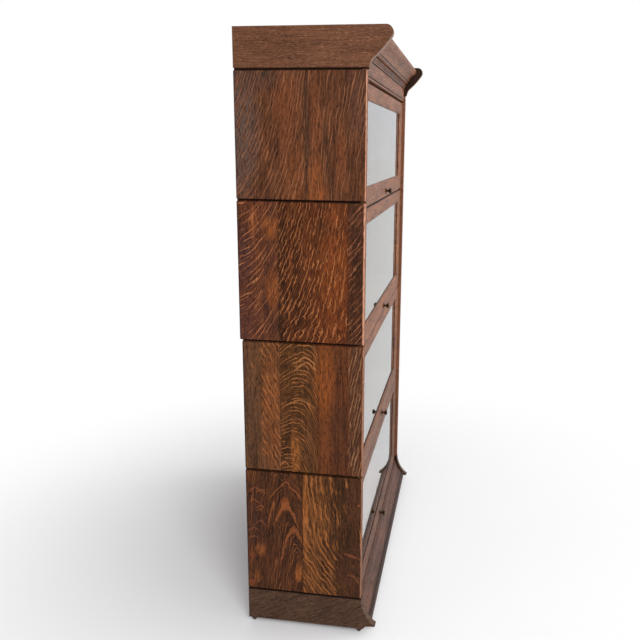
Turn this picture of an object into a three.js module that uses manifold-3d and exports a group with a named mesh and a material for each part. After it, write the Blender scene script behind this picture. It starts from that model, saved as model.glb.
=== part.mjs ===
// Barrister bookcase: a moulded base on four glides, four stacked sections with lift-and-slide
// glazed doors, and a crown. Sections are numbered from the top.
//
// Millimetres, +Z up. The front faces -Y and the left side is -X. The origin is on the floor, under
// the middle of the whole object. Every group below is drawn in case coordinates: x from the middle,
// y backwards from the case's front plane, z up from the bottom of that group.

import * as THREE from 'three';
import { mergeVertices } from 'three/addons/utils/BufferGeometryUtils.js';
import Module from 'manifold-3d';

const wasm = await Module();
wasm.setup();

// ---- driving dimensions ----

const GAP = 0.3; // clearance between pieces that touch
const CASE_WIDTH = 864;
const UPPER_DEPTH = 286; // crown and the two upper sections
const LOWER_DEPTH = 281; // base and the two lower sections
const SIDE_THICKNESS = 20;

const GLIDE_HEIGHT = 11;
const BASE_HEIGHT = 81;
const TALL_SECTION = 318;
const SHORT_SECTION = 273;
const CROWN_HEIGHT = 85.3;
const CROWN_OVERHANG = 52.2; // furthest reach of the crown's end boards past the case front
const NOSE_RADIUS = 15; // round end of the crown's end boards
const CROWN_TOP_BOARD = { low: 68, high: 82 }; // from the crown's bottom

const SECTIONS = [
  { number: 1, height: SHORT_SECTION, depth: UPPER_DEPTH, travel: 203 },
  { number: 2, height: TALL_SECTION, depth: UPPER_DEPTH, travel: 225 },
  { number: 3, height: TALL_SECTION, depth: LOWER_DEPTH, travel: 225 },
  { number: 4, height: TALL_SECTION, depth: LOWER_DEPTH, travel: 225 },
];

// Side panels: an outer rabbet along the top and bottom edges draws the shadow line at each joint.
const SHADOW_HEIGHT = 3;
const SHADOW_DEPTH = 6;
const DADO_DEPTH = 6;
const TONGUE_STEP = 3; // a board's tongues are this much thinner than the board, cut from its top
const BACK_THICKNESS = 6;
const BACK_INSET = 3; // back panel's rear face in from the side panels' rear edges
const BOARD_SETBACK = 29; // front edges of the top and bottom boards
const TOP_BOARD = { low: -14, high: -2 }; // from the section's top
const BOTTOM_BOARD = { low: 2, high: 16 }; // from the section's bottom

// Doors: the face is set back from the case front, and each door hangs past the joint below it.
const DOOR_SETBACK = 8;
const DOOR_THICKNESS = 20;
const DOOR_SIDE_GAP = 1.5;
const DOOR_TOP_DROP = 18; // door top below the section's top
const DOOR_BOTTOM_DROP = 16; // door bottom below the section's bottom
const DOOR_LEDGE_GAP = 1.2; // lowest door's bottom above the base moulding
const STILE_WIDTH = 60; // sticking included
const GLASS_TOP_DROP = 57; // sight edge below the section's top
const GLASS_BOTTOM_RISE = 28; // sight edge above the section's bottom
const STICKING_WIDTH = 8; // chamfer round the glass
const STICKING_DEPTH = 4;
const GLASS_THICKNESS = 3;
const GLASS_DEPTH = 5.5; // glass face behind the door face
const GLASS_RABBET = 7;

// Pivot rod with a roller at each end, running in a groove in each side panel.
const ROD_RADIUS = 3;
const ROD_BORE_RADIUS = 3.4;
const ROLLER_RADIUS = 6;
const ROLLER_WIDTH = 6.8;
const GROOVE_DEPTH = 8;
const GROOVE_RADIUS = 6.5;

const HALF_WIDTH = CASE_WIDTH / 2;
const INNER_HALF = HALF_WIDTH - SIDE_THICKNESS;
const PIVOT_SETBACK = DOOR_SETBACK + DOOR_THICKNESS / 2;
const PIVOT_DROP = DOOR_TOP_DROP + DOOR_THICKNESS / 2;
const BACK_Y = (UPPER_DEPTH + CROWN_OVERHANG) / 2;
const FRONT_Y = BACK_Y - UPPER_DEPTH;
const ARC_STEPS = 10;

// ---- materials ----

const MATERIALS = {
  oak: { color: 0x7a4a2a, roughness: 0.45, metalness: 0 },
  darkOak: { color: 0x5a4438, roughness: 0.5, metalness: 0 },
  secondaryWood: { color: 0x8c6a48, roughness: 0.7, metalness: 0 },
  glass: { color: 0xd8e0e0, roughness: 0.05, metalness: 0, transparent: true, opacity: 0.4 },
  darkBrass: { color: 0x3a2c1a, roughness: 0.4, metalness: 0.8 },
  steel: { color: 0x8a8a88, roughness: 0.4, metalness: 0.9 },
};

function piece(name, geometry, material) {
  const mesh = new THREE.Mesh(geometry, new THREE.MeshStandardMaterial(MATERIALS[material]));
  mesh.name = name;
  return mesh;
}

// ---- shapes and booleans ----

function outline(points) {
  return new THREE.Shape(points.map(([a, b]) => new THREE.Vector2(a, b)));
}

// A shape drawn in (y, z), extruded from x = low to x = high.
function alongX(shape, low, high) {
  const geometry = new THREE.ExtrudeGeometry(shape, {
    depth: high - low,
    bevelEnabled: false,
    curveSegments: ARC_STEPS,
  });
  const axes = new THREE.Matrix4().makeBasis(
    new THREE.Vector3(0, 1, 0),
    new THREE.Vector3(0, 0, 1),
    new THREE.Vector3(1, 0, 0),
  );
  return geometry.applyMatrix4(axes).translate(low, 0, 0);
}

// A shape drawn in (x, z), extruded from y = low to y = high.
function alongY(shape, low, high) {
  const geometry = new THREE.ExtrudeGeometry(shape, {
    depth: high - low,
    bevelEnabled: false,
    curveSegments: ARC_STEPS,
  });
  return geometry.rotateX(Math.PI / 2).translate(0, high, 0);
}

function block(x, y, z) {
  const geometry = new THREE.BoxGeometry(x[1] - x[0], y[1] - y[0], z[1] - z[0]);
  return geometry.translate((x[0] + x[1]) / 2, (y[0] + y[1]) / 2, (z[0] + z[1]) / 2);
}

function solidOf(geometry) {
  const bare = geometry.clone();
  bare.deleteAttribute('normal');
  bare.deleteAttribute('uv');
  const merged = mergeVertices(bare);
  return new wasm.Manifold(
    new wasm.Mesh({
      numProp: 3,
      vertProperties: new Float32Array(merged.attributes.position.array),
      triVerts: new Uint32Array(merged.index.array),
    }),
  );
}

function geometryOf(solid) {
  const { vertProperties, triVerts } = solid.getMesh();
  const indexed = new THREE.BufferGeometry();
  indexed.setAttribute('position', new THREE.BufferAttribute(vertProperties, 3));
  indexed.setIndex(new THREE.BufferAttribute(triVerts, 1));
  const flat = indexed.toNonIndexed();
  flat.computeVertexNormals();
  return flat;
}

function cut(geometry, tools) {
  return geometryOf(tools.reduce((body, tool) => body.subtract(solidOf(tool)), solidOf(geometry)));
}

function within(geometry, region) {
  return geometryOf(solidOf(geometry).intersect(solidOf(region)));
}

// Low to high along x on one side of the case: side is -1 for left and +1 for right.
function span(side, inner, outer) {
  return side < 0 ? [-outer, -inner] : [inner, outer];
}

const SIDES = [
  { label: 'left', side: -1 },
  { label: 'right', side: 1 },
];

// ---- sections ----

// Rounded slot that a roller runs in, from the closed door's pivot to the end of its travel.
function rollerSlot(section) {
  const z = section.height - PIVOT_DROP;
  const front = PIVOT_SETBACK;
  const rear = PIVOT_SETBACK + section.travel;
  const slot = new THREE.Shape();
  slot.moveTo(front, z - GROOVE_RADIUS);
  slot.lineTo(rear, z - GROOVE_RADIUS);
  slot.absarc(rear, z, GROOVE_RADIUS, -Math.PI / 2, Math.PI / 2, false);
  slot.lineTo(front, z + GROOVE_RADIUS);
  slot.absarc(front, z, GROOVE_RADIUS, Math.PI / 2, 1.5 * Math.PI, false);
  return slot;
}

function sidePanel(section, side) {
  const inner = side * INNER_HALF;
  const outer = side * HALF_WIDTH;
  const lip = side * (HALF_WIDTH - SHADOW_DEPTH);
  const low = GAP / 2;
  const high = section.height - GAP / 2;
  const profile = outline([
    [inner, low],
    [lip, low],
    [lip, SHADOW_HEIGHT],
    [outer, SHADOW_HEIGHT],
    [outer, section.height - SHADOW_HEIGHT],
    [lip, section.height - SHADOW_HEIGHT],
    [lip, high],
    [inner, high],
  ]);
  const rabbetFront = section.depth - BACK_INSET - BACK_THICKNESS - GAP;
  const boardBack = rabbetFront - GAP;
  const dado = (board, from) =>
    block(
      span(side, INNER_HALF - 1, INNER_HALF + DADO_DEPTH),
      [BOARD_SETBACK - GAP, boardBack + 1],
      [from + board.low - GAP, from + board.high - TONGUE_STEP + GAP],
    );
  return cut(alongY(profile, 0, section.depth), [
    alongX(rollerSlot(section), ...span(side, INNER_HALF - 1, INNER_HALF + GROOVE_DEPTH)),
    dado(TOP_BOARD, section.height),
    dado(BOTTOM_BOARD, 0),
    block(
      span(side, INNER_HALF - 1, INNER_HALF + DADO_DEPTH),
      [rabbetFront, section.depth + 1],
      [-1, section.height + 1],
    ),
  ]);
}

// A board between the side panels, with a tongue on each end that sits in a dado.
function board(section, levels, from) {
  const shoulder = INNER_HALF - GAP;
  const reach = INNER_HALF + DADO_DEPTH - GAP;
  const low = from + levels.low;
  const high = from + levels.high;
  const back = section.depth - BACK_INSET - BACK_THICKNESS - 2 * GAP;
  const profile = outline([
    [-reach, low],
    [reach, low],
    [reach, high - TONGUE_STEP],
    [shoulder, high - TONGUE_STEP],
    [shoulder, high],
    [-shoulder, high],
    [-shoulder, high - TONGUE_STEP],
    [-reach, high - TONGUE_STEP],
  ]);
  return alongY(profile, BOARD_SETBACK, back);
}

function backPanel(section) {
  const reach = INNER_HALF + DADO_DEPTH - GAP;
  const rear = section.depth - BACK_INSET;
  return block([-reach, reach], [rear - BACK_THICKNESS, rear], [1, section.height - 1]);
}

// ---- doors, drawn from their pivot: y and z are zero on the rod's axis ----

function doorLevels(section) {
  const bottomOfSection = PIVOT_DROP - section.height;
  return {
    bottom: bottomOfSection - DOOR_BOTTOM_DROP,
    sightTop: PIVOT_DROP - GLASS_TOP_DROP,
    sightBottom: bottomOfSection + GLASS_BOTTOM_RISE,
    knob: bottomOfSection,
  };
}

// The whole frame as one slab with a full-round top edge and a bore for the rod.
function doorSlab(levels) {
  const half = DOOR_THICKNESS / 2;
  const ease = 2;
  const shape = new THREE.Shape();
  shape.moveTo(-half, levels.bottom + ease);
  shape.lineTo(-half + ease, levels.bottom);
  shape.lineTo(half - ease, levels.bottom);
  shape.lineTo(half, levels.bottom + ease);
  shape.lineTo(half, 0);
  shape.absarc(0, 0, half, 0, Math.PI, false);
  const bore = new THREE.Path();
  bore.absarc(0, 0, ROD_BORE_RADIUS, 0, 2 * Math.PI, true);
  shape.holes.push(bore);
  const reach = INNER_HALF - DOOR_SIDE_GAP;
  return alongX(shape, -reach, reach);
}

function rectangle(halfWidth, low, high) {
  return outline([
    [-halfWidth, low],
    [halfWidth, low],
    [halfWidth, high],
    [-halfWidth, high],
  ]);
}

// The sight opening: a chamfer at the face, the opening itself, and a wider rabbet behind it.
function doorOpening(levels) {
  const half = DOOR_THICKNESS / 2;
  const sight = INNER_HALF - DOOR_SIDE_GAP - STILE_WIDTH;
  const proud = 4;
  const chamfer = new THREE.ExtrudeGeometry(rectangle(sight, levels.sightBottom, levels.sightTop), {
    depth: proud,
    bevelSize: STICKING_WIDTH,
    bevelThickness: STICKING_DEPTH,
    bevelSegments: 1,
  });
  const through = alongY(
    rectangle(sight, levels.sightBottom, levels.sightTop),
    -half - proud,
    half + proud,
  );
  const rabbet = alongY(
    rectangle(sight + GLASS_RABBET, levels.sightBottom - GLASS_RABBET, levels.sightTop + GLASS_RABBET),
    GLASS_DEPTH - half - GAP,
    half + proud,
  );
  return [chamfer.rotateX(Math.PI / 2).translate(0, -half, 0), through, rabbet];
}

// Regions that split the frame: full-height stiles, rails between them, mitred at the sticking.
function stileRegion(levels, side) {
  const outer = INNER_HALF;
  const sight = INNER_HALF - DOOR_SIDE_GAP - STILE_WIDTH;
  const shoulder = sight + STICKING_WIDTH;
  const top = DOOR_THICKNESS;
  const bottom = levels.bottom - 1;
  return outline(
    [
      [outer, bottom],
      [shoulder, bottom],
      [shoulder, levels.sightBottom - STICKING_WIDTH],
      [sight, levels.sightBottom],
      [sight, levels.sightTop],
      [shoulder, levels.sightTop + STICKING_WIDTH],
      [shoulder, top],
      [outer, top],
    ].map(([x, z]) => [side * x, z]),
  );
}

function railRegion(sightEdge, outerEdge) {
  const sight = INNER_HALF - DOOR_SIDE_GAP - STILE_WIDTH - GAP;
  const shoulder = sight + STICKING_WIDTH;
  const mitre = sightEdge + Math.sign(outerEdge - sightEdge) * STICKING_WIDTH;
  return outline([
    [-shoulder, outerEdge],
    [shoulder, outerEdge],
    [shoulder, mitre],
    [sight, sightEdge],
    [-sight, sightEdge],
    [-shoulder, mitre],
  ]);
}

function doorGlass(levels) {
  const margin = GLASS_RABBET - 1;
  const reach = INNER_HALF - DOOR_SIDE_GAP - STILE_WIDTH + margin;
  const face = GLASS_DEPTH - DOOR_THICKNESS / 2;
  return block(
    [-reach, reach],
    [face, face + GLASS_THICKNESS],
    [levels.sightBottom - margin, levels.sightTop + margin],
  );
}

// Small turned knob: a flange on the rail, a neck and a rounded head, on an axis along -Y.
function knob() {
  const profile = [
    [0, 0],
    [7.5, 0],
    [7.5, 1],
    [6.6, 1.8],
    [3.4, 2.6],
    [2.7, 4.5],
    [2.9, 7],
    [4.4, 8.6],
    [6.4, 9.8],
    [7.4, 11.6],
    [7.2, 13.4],
    [5.6, 15.1],
    [3, 16.1],
    [0, 16.4],
  ];
  const geometry = new THREE.LatheGeometry(
    profile.map(([radius, out]) => new THREE.Vector2(radius, out)),
    24,
  );
  return geometry.rotateZ(Math.PI);
}

// Rod and rollers turned as one profile, on an axis along X.
function pivotRod() {
  const rollerInner = INNER_HALF + GROOVE_DEPTH - 0.6 - ROLLER_WIDTH;
  const rollerOuter = rollerInner + ROLLER_WIDTH;
  const ease = 0.8;
  const end = [
    [ROD_RADIUS, rollerInner],
    [ROLLER_RADIUS - ease, rollerInner],
    [ROLLER_RADIUS, rollerInner + ease],
    [ROLLER_RADIUS, rollerOuter - ease],
    [ROLLER_RADIUS - ease, rollerOuter],
    [0, rollerOuter],
  ];
  const mirrored = end.map(([radius, x]) => [radius, -x]).reverse();
  const geometry = new THREE.LatheGeometry(
    [...mirrored, ...end].map(([radius, x]) => new THREE.Vector2(radius, x)),
    24,
  );
  return geometry.rotateZ(-Math.PI / 2);
}

function door(section) {
  const levels = doorLevels(section);
  const half = DOOR_THICKNESS / 2;
  const frame = cut(doorSlab(levels), doorOpening(levels));
  const slice = (region) => within(frame, alongY(region, -half - 1, half + 1));
  const name = `door_${section.number}`;
  const group = new THREE.Group();
  for (const { label, side } of SIDES) {
    group.add(piece(`${name}_stile_${label}`, slice(stileRegion(levels, side)), 'oak'));
  }
  const topRail = slice(railRegion(levels.sightTop, DOOR_THICKNESS));
  const bottomRail = slice(railRegion(levels.sightBottom, levels.bottom - 1));
  const pull = piece(`${name}_knob`, knob(), 'darkBrass');
  pull.position.set(0, -half - GAP, levels.knob);
  group.add(
    piece(`${name}_top_rail`, topRail, 'oak'),
    piece(`${name}_bottom_rail`, bottomRail, 'oak'),
    piece(`${name}_glass`, doorGlass(levels), 'glass'),
    pull,
    piece(`${name}_pivot_rod`, pivotRod(), 'steel'),
  );
  group.position.set(0, PIVOT_SETBACK, section.height - PIVOT_DROP);
  return group;
}

function sectionGroup(section) {
  const name = `section_${section.number}`;
  const group = new THREE.Group();
  for (const { label, side } of SIDES) {
    group.add(piece(`${name}_side_${label}`, sidePanel(section, side), 'oak'));
  }
  group.add(
    piece(`${name}_top_board`, board(section, TOP_BOARD, section.height), 'secondaryWood'),
    piece(`${name}_bottom_board`, board(section, BOTTOM_BOARD, 0), 'secondaryWood'),
    piece(`${name}_back_panel`, backPanel(section), 'secondaryWood'),
    door(section),
  );
  return group;
}

// ---- base ----

// End board: a hollow curve sweeps the front edge out to a thin toe, cut away underneath.
function baseEndBoard(side) {
  const curve = { start: 1, radius: 89, turn: 0.88 };
  const tip = { y: -36.2, z: 10.6 };
  const instep = { y: -15, z: 8 };
  const heel = -6;
  const centreY = -curve.start - curve.radius;
  const high = BASE_HEIGHT - GAP / 2;
  const shape = new THREE.Shape();
  shape.moveTo(LOWER_DEPTH, 0);
  shape.lineTo(LOWER_DEPTH, high);
  shape.lineTo(-curve.start, high);
  shape.absarc(centreY, high, curve.radius, 0, -curve.turn, true);
  shape.quadraticCurveTo(tip.y, tip.z + 1.6, tip.y, tip.z);
  shape.lineTo(tip.y + 2, tip.z - 1);
  shape.lineTo(instep.y, instep.z);
  shape.quadraticCurveTo(instep.y + 4, instep.z - 0.6, heel, 0);
  return alongX(shape, ...span(side, INNER_HALF, HALF_WIDTH));
}

// Front moulding between the end boards: two fillets, a hollow, another fillet and a plinth.
function baseMoulding() {
  const rear = 26;
  const top = BASE_HEIGHT - DOOR_BOTTOM_DROP - DOOR_LEDGE_GAP;
  const shape = new THREE.Shape();
  shape.moveTo(rear, 0);
  shape.lineTo(rear, top);
  shape.lineTo(6, top);
  shape.lineTo(4, top - 2);
  shape.lineTo(4, 58);
  shape.lineTo(1, 57);
  shape.lineTo(1, 53);
  shape.lineTo(0, 52);
  shape.quadraticCurveTo(-4, 34, -17, 25);
  shape.lineTo(-17, 22);
  shape.lineTo(-20, 21);
  shape.quadraticCurveTo(-26, 19, -26, 13);
  shape.lineTo(-26, 11);
  shape.lineTo(-14, 9);
  shape.lineTo(-8, 0);
  return alongX(shape, -INNER_HALF + GAP, INNER_HALF - GAP);
}

function glide() {
  const profile = [
    [0, 0],
    [3, 0],
    [4.2, 0.8],
    [8, GLIDE_HEIGHT - 2.5],
    [8, GLIDE_HEIGHT - GAP],
    [0, GLIDE_HEIGHT - GAP],
  ];
  return new THREE.LatheGeometry(
    profile.map(([radius, z]) => new THREE.Vector2(radius, z)),
    20,
  ).rotateX(Math.PI / 2);
}

function baseGroup() {
  const group = new THREE.Group();
  const fromSide = 8.5;
  for (const { label, side } of SIDES) {
    group.add(piece(`base_end_${label}`, baseEndBoard(side), 'darkOak'));
    for (const [place, y] of [['front', 4], ['back', LOWER_DEPTH - 12]]) {
      const foot = piece(`glide_${place}_${label}`, glide(), 'steel');
      foot.position.set(side * (HALF_WIDTH - fromSide), y, -GLIDE_HEIGHT);
      group.add(foot);
    }
  }
  const railRear = LOWER_DEPTH - 4;
  const railThickness = 18;
  const rail = block(
    [-INNER_HALF + GAP, INNER_HALF - GAP],
    [railRear - railThickness, railRear],
    [0, BASE_HEIGHT - GAP],
  );
  group.add(
    piece('base_front_moulding', baseMoulding(), 'darkOak'),
    piece('base_back_rail', rail, 'secondaryWood'),
  );
  return group;
}

// ---- crown ----

// End board: hollow at the bottom, a straight rise, then a bold round nose.
function crownEndBoard(side) {
  const start = 3;
  const nose = { y: NOSE_RADIUS - CROWN_OVERHANG, z: CROWN_HEIGHT - NOSE_RADIUS };
  const turn = 0.62;
  const low = GAP / 2;
  const waist = { y: -12, z: 21 };
  const shape = new THREE.Shape();
  shape.moveTo(UPPER_DEPTH, low);
  shape.lineTo(UPPER_DEPTH, CROWN_HEIGHT);
  shape.lineTo(nose.y, CROWN_HEIGHT);
  shape.absarc(nose.y, nose.z, NOSE_RADIUS, Math.PI / 2, Math.PI + turn, false);
  shape.quadraticCurveTo(-32.3, 37.7, waist.y, waist.z);
  shape.quadraticCurveTo(-6.3, 16.3, -start, low);
  const shadow = block(
    span(side, HALF_WIDTH - SHADOW_DEPTH, HALF_WIDTH + 1),
    [-start - SHADOW_DEPTH, UPPER_DEPTH + 1],
    [-1, SHADOW_HEIGHT],
  );
  return cut(alongX(shape, ...span(side, INNER_HALF, HALF_WIDTH)), [shadow]);
}

// Front moulding between the end boards: a frieze that hangs past the joint, with a bead along its
// lower edge, then three reeds, a quarter round, a fillet, a rising hollow and a rounded top.
function crownMoulding() {
  const rear = 27;
  const frieze = 4.5;
  const top = CROWN_TOP_BOARD.high;
  const hang = 16;
  const reed = { count: 3, radius: 2.2, low: { y: 3.4, z: 24.6 }, step: { y: -1.2, z: 4.5 } };
  const bead = { radius: 2.3, y: 3.6, z: -8.4 };
  const shape = new THREE.Shape();
  shape.moveTo(rear, -hang);
  shape.lineTo(rear, 34);
  shape.lineTo(5, 62);
  shape.lineTo(5, top);
  shape.lineTo(-20, top);
  shape.bezierCurveTo(-28, top, -33, 80, -33, 75);
  shape.bezierCurveTo(-33, 70, -30, 66, -26, 62);
  shape.quadraticCurveTo(-15, 56, -11, 46.5);
  shape.lineTo(-11, 43.5);
  shape.lineTo(-8, 42.5);
  shape.quadraticCurveTo(-7.6, 38.6, -3.5, 38.2);
  shape.lineTo(2.5, 38);
  for (let step = reed.count - 1; step >= 0; step -= 1) {
    const y = reed.low.y + step * reed.step.y;
    const z = reed.low.z + step * reed.step.z;
    shape.absarc(y, z, reed.radius, Math.PI / 2, 1.5 * Math.PI, false);
  }
  shape.lineTo(frieze + 1, reed.low.z - reed.radius);
  shape.lineTo(frieze, reed.low.z - reed.radius - 1);
  shape.lineTo(frieze, bead.z + bead.radius + 0.8);
  shape.lineTo(bead.y + 2, bead.z + bead.radius);
  shape.absarc(bead.y, bead.z, bead.radius, Math.PI / 2, 1.5 * Math.PI, false);
  shape.lineTo(bead.y + 2, bead.z - bead.radius);
  shape.lineTo(frieze, bead.z - bead.radius - 0.8);
  shape.lineTo(frieze, -hang + 1);
  shape.lineTo(frieze + 1, -hang);
  return alongX(shape, -INNER_HALF + GAP, INNER_HALF - GAP);
}

function crownGroup() {
  const group = new THREE.Group();
  for (const { label, side } of SIDES) {
    group.add(piece(`crown_end_${label}`, crownEndBoard(side), 'oak'));
  }
  const topBoard = block(
    [-INNER_HALF + GAP, INNER_HALF - GAP],
    [5 + GAP, UPPER_DEPTH - 2],
    [CROWN_TOP_BOARD.low, CROWN_TOP_BOARD.high],
  );
  group.add(
    piece('crown_front_moulding', crownMoulding(), 'oak'),
    piece('crown_top_board', topBoard, 'oak'),
  );
  return group;
}

// ---- assembly, from the floor up ----

const bookcase = new THREE.Group();

function stand(group, z) {
  group.position.set(0, FRONT_Y, z);
  bookcase.add(group);
}

stand(baseGroup(), GLIDE_HEIGHT);
let level = GLIDE_HEIGHT + BASE_HEIGHT;
for (const section of [...SECTIONS].reverse()) {
  stand(sectionGroup(section), level);
  level += section.height;
}
stand(crownGroup(), level);

export default bookcase;
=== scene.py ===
"""The looks of the barrister bookcase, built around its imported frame.

Lengths are metres in the frame's axes: -Y is the front, +X the right side, +Z up.
"""

import math

import bmesh
import bpy
from mathutils import Matrix, Vector


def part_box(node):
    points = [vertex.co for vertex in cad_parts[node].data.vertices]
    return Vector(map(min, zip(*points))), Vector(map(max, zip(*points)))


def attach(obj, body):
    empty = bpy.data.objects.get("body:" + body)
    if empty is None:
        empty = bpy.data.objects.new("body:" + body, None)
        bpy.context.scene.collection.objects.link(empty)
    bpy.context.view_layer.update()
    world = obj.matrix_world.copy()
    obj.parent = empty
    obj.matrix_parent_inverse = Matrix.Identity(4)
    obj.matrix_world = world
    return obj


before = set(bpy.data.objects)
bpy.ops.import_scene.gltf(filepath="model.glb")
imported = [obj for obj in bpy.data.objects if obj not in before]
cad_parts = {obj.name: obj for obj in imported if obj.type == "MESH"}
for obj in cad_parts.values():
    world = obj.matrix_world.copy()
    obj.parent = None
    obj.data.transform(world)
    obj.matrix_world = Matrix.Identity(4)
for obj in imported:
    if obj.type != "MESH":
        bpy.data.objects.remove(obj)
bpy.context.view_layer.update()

MM = 0.001
SECTIONS = (1, 2, 3, 4)
SIDES = ("left", "right")
CLEAR = 0.3 * MM  # between two pieces that would touch


# ---------------------------------------------------------------- shader arithmetic

class Field:
    """A number that varies over a surface: a shader socket that takes ordinary arithmetic."""

    def __init__(self, tree, socket):
        self.tree = tree
        self.socket = socket

    def __add__(self, other):
        return calculate(self.tree, "ADD", self, other)

    def __sub__(self, other):
        return calculate(self.tree, "SUBTRACT", self, other)

    def __mul__(self, other):
        return calculate(self.tree, "MULTIPLY", self, other)

    def __truediv__(self, other):
        return calculate(self.tree, "DIVIDE", self, other)

    def __rsub__(self, other):
        return calculate(self.tree, "SUBTRACT", other, self)

    __radd__ = __add__
    __rmul__ = __mul__

    def at_least(self, other):
        return calculate(self.tree, "MAXIMUM", self, other)

    def at_most(self, other):
        return calculate(self.tree, "MINIMUM", self, other)

    def size(self):
        return calculate(self.tree, "ABSOLUTE", self)

    def root(self):
        return calculate(self.tree, "SQRT", self)

    def whole(self):
        return calculate(self.tree, "FLOOR", self)

    def rise(self, start, end):
        """From 0 at start to 1 at end, smoothly."""
        node = self.tree.nodes.new("ShaderNodeMapRange")
        node.interpolation_type = "SMOOTHSTEP"
        feed(self.tree, node.inputs["Value"], self)
        feed(self.tree, node.inputs["From Min"], start)
        feed(self.tree, node.inputs["From Max"], end)
        return Field(self.tree, node.outputs["Result"])

    def fall(self, start, end):
        """From 1 at start to 0 at end, smoothly."""
        return 1.0 - self.rise(start, end)


def feed(tree, socket, value):
    if isinstance(value, Field):
        tree.links.new(value.socket, socket)
    else:
        socket.default_value = value


def calculate(tree, operation, *terms):
    node = tree.nodes.new("ShaderNodeMath")
    node.operation = operation
    for socket, term in zip(node.inputs, terms):
        feed(tree, socket, term)
    return Field(tree, node.outputs["Value"])


def noise(across, along, seed, detail=1.0, roughness=0.5):
    """A noise from 0 to 1 whose features are 1 long along each of the two fields."""
    tree = across.tree
    place = tree.nodes.new("ShaderNodeCombineXYZ")
    for socket, value in zip(place.inputs, (across, along, seed)):
        feed(tree, socket, value)
    node = tree.nodes.new("ShaderNodeTexNoise")
    node.inputs["Scale"].default_value = 1.0
    node.inputs["Detail"].default_value = detail
    node.inputs["Roughness"].default_value = roughness
    tree.links.new(place.outputs["Vector"], node.inputs["Vector"])
    return Field(tree, node.outputs["Fac"])


def paint(red, green, blue):
    """A screen colour, 0 to 255, as the light it stands for."""
    def light(value):
        share = value / 255
        return share / 12.92 if share <= 0.04045 else ((share + 0.055) / 1.055) ** 2.4
    return (light(red), light(green), light(blue), 1.0)


MIX_START, MIX_END, MIX_RESULT = 6, 7, 2  # the colour sockets of a Mix node


def blend_colours(amount, start, end):
    """The colour start where amount is 0, and end where it is 1. Both are colours or sockets."""
    tree = amount.tree
    node = tree.nodes.new("ShaderNodeMix")
    node.data_type = "RGBA"
    tree.links.new(amount.socket, node.inputs["Factor"])
    for socket, colour in ((node.inputs[MIX_START], start), (node.inputs[MIX_END], end)):
        if isinstance(colour, tuple):
            socket.default_value = colour
        else:
            tree.links.new(colour, socket)
    return node.outputs[MIX_RESULT]


def choose(mask, where_off, where_on):
    """The field where_on where mask is 1, and where_off where it is 0."""
    return where_off + mask * (where_on - where_off)


class Surface:
    """A new material with a Principled shader, and the place and facing of each point on it."""

    def __init__(self, name):
        self.material = bpy.data.materials.new(name)
        self.material.use_nodes = True
        self.tree = self.material.node_tree
        self.tree.nodes.clear()
        self.shader = self.tree.nodes.new("ShaderNodeBsdfPrincipled")
        self.output = self.tree.nodes.new("ShaderNodeOutputMaterial")
        self.tree.links.new(self.shader.outputs["BSDF"], self.output.inputs["Surface"])
        source = self.tree.nodes.new("ShaderNodeTexCoord")
        self.x, self.y, self.z = self.split(source.outputs["Object"])
        facing = self.split(source.outputs["Normal"])
        self.facing_x, self.facing_y, self.facing_z = (part.size() for part in facing)

    def split(self, vector):
        node = self.tree.nodes.new("ShaderNodeSeparateXYZ")
        self.tree.links.new(vector, node.inputs["Vector"])
        return (Field(self.tree, socket) for socket in node.outputs)

    def settings(self, **values):
        for name, value in values.items():
            self.shader.inputs[name.replace("_", " ")].default_value = value

    def finish(self, colour, roughness, height, relief):
        """Wires the colour, the roughness field and a bump of height times relief metres."""
        self.tree.links.new(colour, self.shader.inputs["Base Color"])
        feed(self.tree, self.shader.inputs["Roughness"], roughness)
        bump = self.tree.nodes.new("ShaderNodeBump")
        bump.inputs["Strength"].default_value = 1.0
        bump.inputs["Distance"].default_value = relief
        feed(self.tree, bump.inputs["Height"], height)
        self.tree.links.new(bump.outputs["Normal"], self.shader.inputs["Normal"])
        return self.material


# ---------------------------------------------------------------- oak

STREAK_WIDTH, STREAK_LENGTH = 3.0 * MM, 80 * MM
PORE_WIDTH, PORE_LENGTH = 1.2 * MM, 10 * MM
PATCH_WIDTH, PATCH_LENGTH = 22 * MM, 110 * MM
OAK_RELIEF = 0.25 * MM
SIDE_SHINE, FRONT_SHINE = 0.07, 0.3
# Pale pink of a front arris: partly wear, partly a painted highlight on its rounded edge.
WORN_AND_HIGHLIT = paint(226, 160, 128)
# Painted light on a side panel's front edge and on the lip behind it.
LIT_FRONT_EDGE = paint(142, 94, 68)
# Painted sheen on an end board's round front edge.
NOSE_SHEEN = paint(176, 150, 134)
# Dark of the open pores and the board seams, and also of the painted shade in joints, reveals,
# grooves and inner faces.
GRIME_AND_SHADE = paint(26, 15, 10)


class Figure:
    """One glued-up board: the lines its ray flakes follow, how many show, and its colours.

    lines is the same all along one flake, and along is the distance on it. cover is 0 to 1.
    spacing and length are millimetres, and thick is a flake's half width as a share of spacing.
    """

    def __init__(self, lines, along, cover, dark, light, flake, spacing=11, length=40,
                 thick=0.2):
        self.lines = lines / (spacing * MM)
        self.along = along / (length * MM)
        self.cover = cover
        self.dark = dark
        self.light = light
        self.flake = flake
        self.thick = thick


def flecks(lines, along, cover, thick, seed):
    """Thin broken lines, from 0 to 1. The fields count lines and flake lengths."""
    waver = noise(0.7 * lines, 1.4 * along, seed + 3.0) - 0.5
    kink = noise(1.6 * lines, 4.0 * along, seed + 6.0) - 0.5
    bent = lines + waver + 0.5 * kink
    number = bent.whole()
    off = (bent - number - 0.5).size()
    drawn = noise(7.31 * number, along + 0.37 * number, seed)
    edge = 0.68 - 0.34 * cover
    return off.fall(0.3 * thick, thick) * drawn.rise(edge, edge + 0.2)


def flakes(lines, along, cover, thick, seed):
    """The bold flakes of a board, with fainter ones between them."""
    bold = flecks(lines, along, cover, thick, seed)
    faint = flecks(2.2 * lines + 31.0, 1.6 * along, 0.9 * cover, 1.2 * thick, seed + 9.0)
    return bold.at_least(0.5 * faint)


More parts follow.
